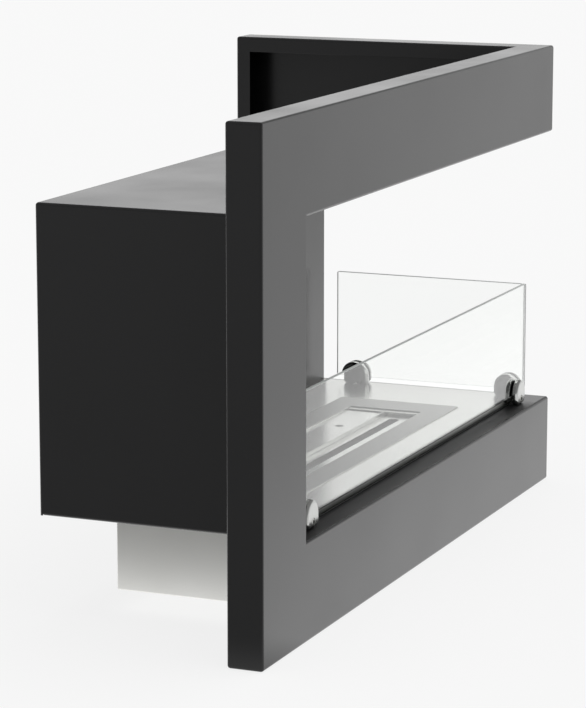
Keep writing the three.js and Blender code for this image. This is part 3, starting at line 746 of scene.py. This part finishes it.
def make_clamp(name, to_side):
    """Jaw outside, base with its foot inside, and a pad on each side of the glass."""
    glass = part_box("side_glass" if to_side else "front_glass")
    jaw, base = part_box("clamp_jaw_" + name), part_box("clamp_base_" + name)
    middle = (jaw[0] + jaw[1]) / 2
    if to_side:
        centre = (glass[0].x + glass[1].x) / 2
        place = Matrix(((0, 1, 0, centre), (1, 0, 0, middle.y), (0, 0, 1, 0), (0, 0, 0, 1)))
        faces = [jaw[0].x - centre, jaw[1].x - centre]
        inner = base[0].x - centre
    else:
        centre = (glass[0].y + glass[1].y) / 2
        place = Matrix(((1, 0, 0, middle.x), (0, -1, 0, centre), (0, 0, 1, 0), (0, 0, 0, 1)))
        faces = [centre - jaw[1].y, centre - jaw[0].y]
        inner = centre - base[1].y
    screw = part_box("clamp_screw_" + name)
    screw_z = (screw[0].z + screw[1].z) / 2
    head_radius = (screw[1].z - screw[0].z) / 2

    outer = make_cheek("clamp_jaw_" + name + "_cast", "clamp_jaw_" + name, JAW_FOOT, place,
                       faces[0], faces[1])
    seat_depth = CLAMP_SCREW["Head Height"]
    seat = cylinder(head_radius + SEAT_GAP, place @ Vector((0, faces[1] - seat_depth, screw_z)),
                    place @ Vector((0, faces[1] + seat_depth, screw_z)))
    combine(outer, [seat], "DIFFERENCE")
    break_edges(outer, THIN_EDGE, angle=60)
    smooth(outer, 40)
    finish(outer, "root", [CAST], ["clamp_jaw_" + name])

    holder = make_cheek("clamp_base_" + name + "_cast", "clamp_base_" + name, BASE_FOOT, place,
                        -faces[0], inner)
    foot_corners = [Vector((-FOOT_WIDTH / 2, -faces[0] - FOOT_BITE, base[0].z)),
                    Vector((FOOT_WIDTH / 2, faces[0], glass[0].z - FOOT_GAP))]
    placed = [place @ corner for corner in foot_corners]
    lowest = Vector([min(a, b) for a, b in zip(*placed)])
    highest = Vector([max(a, b) for a, b in zip(*placed)])
    combine(holder, [box_between(lowest, highest)], "UNION")
    break_edges(holder, THIN_EDGE, angle=60)
    smooth(holder, 40)
    finish(holder, "root", [CAST], ["clamp_base_" + name])

    thick = 0 if to_side else 1
    half_glass = (glass[1][thick] - glass[0][thick]) / 2
    for side, out in (("outer", 1), ("inner", -1)):
        pad_name = f"clamp_pad_{side}_{name}"
        make_pad(pad_name + "_cut", pad_name, place, out * half_glass, out * faces[0])


# ---- Fasteners -------------------------------------------------------------------------------------


def fastener_tree():
    """A tree that sets a domed head, a shank and a tail on every point, aimed by the point's aim."""
    tree = bpy.data.node_groups.new("fastener", "GeometryNodeTree")
    sizes = ["Head Radius", "Head Height", "Crown", "Shank Radius", "Shank Length", "Tail Radius",
             "Tail Length", "Socket Radius", "Socket Depth"]
    tree.interface.new_socket("Geometry", in_out="INPUT", socket_type="NodeSocketGeometry")
    for name in sizes:
        tree.interface.new_socket(name, in_out="INPUT", socket_type="NodeSocketFloat")
    tree.interface.new_socket("Material", in_out="INPUT", socket_type="NodeSocketMaterial")
    tree.interface.new_socket("Geometry", in_out="OUTPUT", socket_type="NodeSocketGeometry")
    given = node(tree, "NodeGroupInput").outputs

    def maths(operation, first, second=0.0):
        return node(tree, "ShaderNodeMath", {0: first, 1: second}, operation=operation).outputs[0]

    def column(radius, length, top, steps=1, crown=None):
        """A cylinder from the height top downwards (length > 0), with a rounded far end if crowned."""
        made = node(tree, "GeometryNodeMeshCylinder", {
            "Vertices": FASTENER_SIDES, "Side Segments": steps, "Radius": radius, "Depth": length})
        mesh = made.outputs["Mesh"]
        half = maths("MULTIPLY", length, 0.5)
        if crown is not None:
            spot = node(tree, "GeometryNodeInputPosition").outputs[0]
            split = node(tree, "ShaderNodeSeparateXYZ", {0: spot}).outputs
            share = maths("DIVIDE", maths("ADD", split["Z"], half), length)
            fall = maths("SUBTRACT", 1.0, maths("POWER", maths("MINIMUM", share, DOME_END), crown))
            width = maths("POWER", fall, maths("DIVIDE", 1.0, crown))
            moved = node(tree, "ShaderNodeCombineXYZ", {
                "X": maths("MULTIPLY", split["X"], width),
                "Y": maths("MULTIPLY", split["Y"], width), "Z": split["Z"]}).outputs[0]
            mesh = node(tree, "GeometryNodeSetPosition", {
                "Geometry": mesh, "Position": moved}).outputs[0]
        lift = node(tree, "ShaderNodeCombineXYZ", {"Z": maths("ADD", top, half)}).outputs[0]
        return node(tree, "GeometryNodeTransform", {
            "Geometry": mesh, "Translation": lift}).outputs[0]

    head = column(given["Head Radius"], given["Head Height"], 0.0, HEAD_STEPS, given["Crown"])
    hexagon = node(tree, "GeometryNodeMeshCylinder", {
        "Vertices": 6, "Radius": given["Socket Radius"],
        "Depth": maths("MULTIPLY", given["Socket Depth"], 2)})
    spot = node(tree, "ShaderNodeCombineXYZ", {"Z": given["Head Height"]}).outputs[0]
    socket = node(tree, "GeometryNodeTransform", {
        "Geometry": hexagon.outputs["Mesh"], "Translation": spot}).outputs[0]
    drilled = node(tree, "GeometryNodeMeshBoolean", {"Mesh 1": head, "Mesh 2": socket},
                   operation="DIFFERENCE").outputs["Mesh"]
    shank = column(given["Shank Radius"], given["Shank Length"],
                   maths("MULTIPLY", given["Shank Length"], -1.0))
    tail_end = maths("MULTIPLY", maths("ADD", given["Shank Length"], given["Tail Length"]), -1.0)
    tail = column(given["Tail Radius"], given["Tail Length"], tail_end)
    whole = node(tree, "GeometryNodeJoinGeometry")
    for part in (drilled, shank, tail):
        tree.links.new(part, whole.inputs["Geometry"])
    aim = node(tree, "GeometryNodeInputNamedAttribute", {"Name": "aim"}, data_type="FLOAT_VECTOR")
    turn = node(tree, "FunctionNodeAlignRotationToVector", {"Vector": aim.outputs["Attribute"]}, axis="Z")
    placed = node(tree, "GeometryNodeInstanceOnPoints", {
        "Points": given["Geometry"], "Instance": whole.outputs[0], "Rotation": turn.outputs[0]})
    real = node(tree, "GeometryNodeRealizeInstances", {"Geometry": placed.outputs[0]})
    coated = node(tree, "GeometryNodeSetMaterial", {
        "Geometry": real.outputs[0], "Material": given["Material"]})
    node(tree, "NodeGroupOutput", {"Geometry": coated.outputs[0]})
    return tree


FASTENER = fastener_tree()


def make_fasteners(name, nodes, points, sizes):
    """One mesh with a fastener at each (place, aim), standing for the given nodes."""
    mesh = bpy.data.meshes.new(name)
    mesh.from_pydata([place for place, _ in points], [], [])
    aims = mesh.attributes.new("aim", "FLOAT_VECTOR", "POINT")
    for item, (_, aim) in zip(aims.data, points):
        item.vector = aim
    piece = linked(name, mesh)
    modifier = piece.modifiers.new("Fasteners", "NODES")
    modifier.node_group = FASTENER
    for item in FASTENER.interface.items_tree:
        if item.in_out == "INPUT" and item.name in sizes:
            modifier[item.identifier] = sizes[item.name]
        elif item.in_out == "INPUT" and item.name == "Material":
            modifier[item.identifier] = ZINC
    smooth(piece, 30)
    finish(piece, "root", [ZINC], nodes)


def make_clamp_screws():
    """The screws that close the clamps, their heads outside."""
    nodes, points = [], []
    head = CLAMP_SCREW["Head Height"]
    for name, to_side in CLAMPS.items():
        first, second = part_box("clamp_screw_" + name)
        middle = (first + second) / 2
        if to_side:
            points.append((Vector((second.x - head, middle.y, middle.z)), Vector((1, 0, 0))))
        else:
            points.append((Vector((middle.x, first.y + head, middle.z)), Vector((0, -1, 0))))
        nodes.append("clamp_screw_" + name)
    make_fasteners("clamp_screws", nodes, points, CLAMP_SCREW)


def make_heads_down(name, each, sizes):
    """Fasteners set from below, one for each clamp's name."""
    nodes, points = [], []
    for clamp_name in CLAMPS:
        node_name = f"{each}_{clamp_name}"
        first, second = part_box(node_name)
        middle = (first + second) / 2
        points.append((Vector((middle.x, middle.y, first.z + sizes["Head Height"])), -UP))
        nodes.append(node_name)
    make_fasteners(name, nodes, points, sizes)


# ---- The whole fireplace ---------------------------------------------------------------------------

make_fascia()
make_casing()
dress("casing_floor", "root", COAT, CUT_EDGE)
dress("hearth_plate", "root", POLISHED, CUT_EDGE)
for level_name in ("bottom", "top"):
    dress("corner_joiner_" + level_name, "root", ZINC, THICK_EDGE)
make_housing()
make_tank()
make_burner_top()
for part_name in ("tank_baffle_left", "tank_baffle_right", "wool_retainer"):
    dress(part_name, "burner", BRUSHED, THIN_EDGE)
for part_name in ("lid_guide_left", "lid_guide_right"):
    dress(part_name, "burner", BRUSHED, GUIDE_EDGE)
dress("burner_lid", "lid", POLISHED, THICK_EDGE)
make_wool()
make_pane("front_glass", False)
make_pane("side_glass", True)
for clamp_name, is_side in CLAMPS.items():
    make_clamp(clamp_name, is_side)
make_clamp_screws()
make_heads_down("clamp_mount_screws", "clamp_mount_screw", MOUNT_SCREW)
make_heads_down("roof_rivets", "roof_rivet", RIVET)

# ---- Stage, light and camera -----------------------------------------------------------------------

WHITE = 0.947               # the pale ground to the eye, as a linear value
THROUGH_GLASS = 1.0         # and through the panes, which take a little of it
AMBIENT = 0.62              # light from all round on dull surfaces

# What shiny faces mirror.
DIM = 0.3                   # the room on the left and above
DIM_NEAR = 0.24             # the floor on the left, near the object
DIM_FAR = 0.3               # and farther back
BRIGHT = 1.0                # the room on the right, up to the softbox's upper edge
BRIGHT_NEAR = 1.4           # the floor close to the object, under the softbox
SOFTBOX_TOP = (0.26, 0.36)  # Z of a direction, between which the softbox fades upwards
SOFTBOX_END = (-0.2, 0.7)   # X of a direction, between which it brightens rightwards
FLOOR_FRONT = (-0.6, -0.22)     # Y between which the right floor turns from BRIGHT to BRIGHT_NEAR
FLOOR_REAR = (0.3, 1.1)         # Y between which the left floor turns from DIM_NEAR to DIM_FAR
FLOOR_SPLIT = (-0.5, -0.3)      # X between which the left floor turns into the right

FLOOR_REACH = 80            # metres from its middle to its edges
FLOOR_DROP = 0.4 * MM       # below the object, which keeps their faces apart
FLOOR_PAINT = 0.8
SHADOW_SHARE = 0.16         # how much of the floor is lit paint, which keeps the shadow


def seen_directly(tree, *names):
    """1 where the ray is any of the named kinds."""
    path = node(tree, "ShaderNodeLightPath").outputs
    total = path[names[0]]
    for name in names[1:]:
        total = node(tree, "ShaderNodeMath", {0: total, 1: path[name]}, operation="MAXIMUM").outputs[0]
    return total


def make_world():
    """Pale to the camera and through glass; shiny faces mirror a low bright wall on the right."""
    world = bpy.data.worlds.new("studio")
    world.use_nodes = True
    bpy.context.scene.world = world
    tree = world.node_tree
    tree.nodes.clear()
    direction = axes(tree, "Generated")
    below_edge = spread(tree, direction["Z"], 1, 0, *SOFTBOX_TOP)
    rightwards = spread(tree, direction["X"], 0, 1, *SOFTBOX_END)
    wall = node(tree, "ShaderNodeMath", {0: below_edge, 1: rightwards}, operation="MULTIPLY").outputs[0]
    mirrored = spread(tree, wall, DIM, BRIGHT, 0, 1)
    lit = chosen(tree, seen_directly(tree, "Is Glossy Ray"), AMBIENT, mirrored)
    through = chosen(tree, seen_directly(tree, "Is Transmission Ray"), lit, THROUGH_GLASS)
    strength = chosen(tree, seen_directly(tree, "Is Camera Ray"), through, WHITE)
    light = node(tree, "ShaderNodeBackground", {"Color": (1, 1, 1, 1), "Strength": strength})
    node(tree, "ShaderNodeOutputWorld", {"Surface": light.outputs[0]})


def make_floor():
    """A pale floor that keeps a soft shadow. To the eye it is as bright as the world round it."""
    shape = bmesh.new()
    bmesh.ops.create_grid(shape, x_segments=1, y_segments=1, size=FLOOR_REACH)
    floor = from_bmesh("floor", shape)
    floor.location.z = -FLOOR_DROP
    made, tree = new_material("pale_floor")
    spot = axes(tree)
    right = spread(tree, spot["Y"], BRIGHT, BRIGHT_NEAR, *FLOOR_FRONT)
    left = spread(tree, spot["Y"], DIM_NEAR, DIM_FAR, *FLOOR_REAR)
    rightwards = spread(tree, spot["X"], 0, 1, *FLOOR_SPLIT)
    mirrored = chosen(tree, rightwards, left, right)
    ground, behind = [(level - SHADOW_SHARE * FLOOR_PAINT) / (1 - SHADOW_SHARE)
                      for level in (WHITE, THROUGH_GLASS)]
    lit = chosen(tree, seen_directly(tree, "Is Glossy Ray"), ground, mirrored)
    strength = chosen(tree, seen_directly(tree, "Is Transmission Ray"), lit, behind)
    glow = node(tree, "ShaderNodeEmission", {"Strength": strength})
    matt = node(tree, "ShaderNodeBsdfDiffuse", {"Color": (FLOOR_PAINT, FLOOR_PAINT, FLOOR_PAINT, 1)})
    seen = seen_directly(tree, "Is Camera Ray", "Is Glossy Ray", "Is Transmission Ray")
    share = spread(tree, seen, 0, 1 - SHADOW_SHARE, 0, 1)
    both = node(tree, "ShaderNodeMixShader", {0: share, 1: matt.outputs[0], 2: glow.outputs[0]})
    node(tree, "ShaderNodeOutputMaterial", {"Surface": both.outputs[0]})
    floor.data.materials.append(made)


def make_lamp(name, direction, strength, spread_angle):
    """A far, broad, soft light. Shiny faces mirror the world and the floor, but not this."""
    lamp = bpy.data.lights.new(name, "SUN")
    lamp.energy = strength
    lamp.angle = math.radians(spread_angle)
    made = linked(name, lamp)
    made.rotation_euler = Vector(direction).to_track_quat("-Z", "Y").to_euler()
    made.visible_glossy = False


def make_camera():
    """The photograph's own place and angle."""
    lens = bpy.data.cameras.new("camera")
    lens.lens = CAMERA_LENS
    lens.clip_end = CAMERA_REACH
    made = linked("camera", lens)
    made.location = CAMERA_PLACE
    look = Vector((math.cos(CAMERA_YAW) * math.cos(CAMERA_PITCH),
                   math.sin(CAMERA_YAW) * math.cos(CAMERA_PITCH), -math.sin(CAMERA_PITCH)))
    made.rotation_euler = look.to_track_quat("-Z", "Y").to_euler()
    bpy.context.scene.camera = made


make_world()
make_floor()
make_lamp("overhead_light", direction=(-0.3, 0.3, -1), strength=1.2, spread_angle=70)
make_camera()
bpy.context.scene.view_settings.view_transform = "Standard"
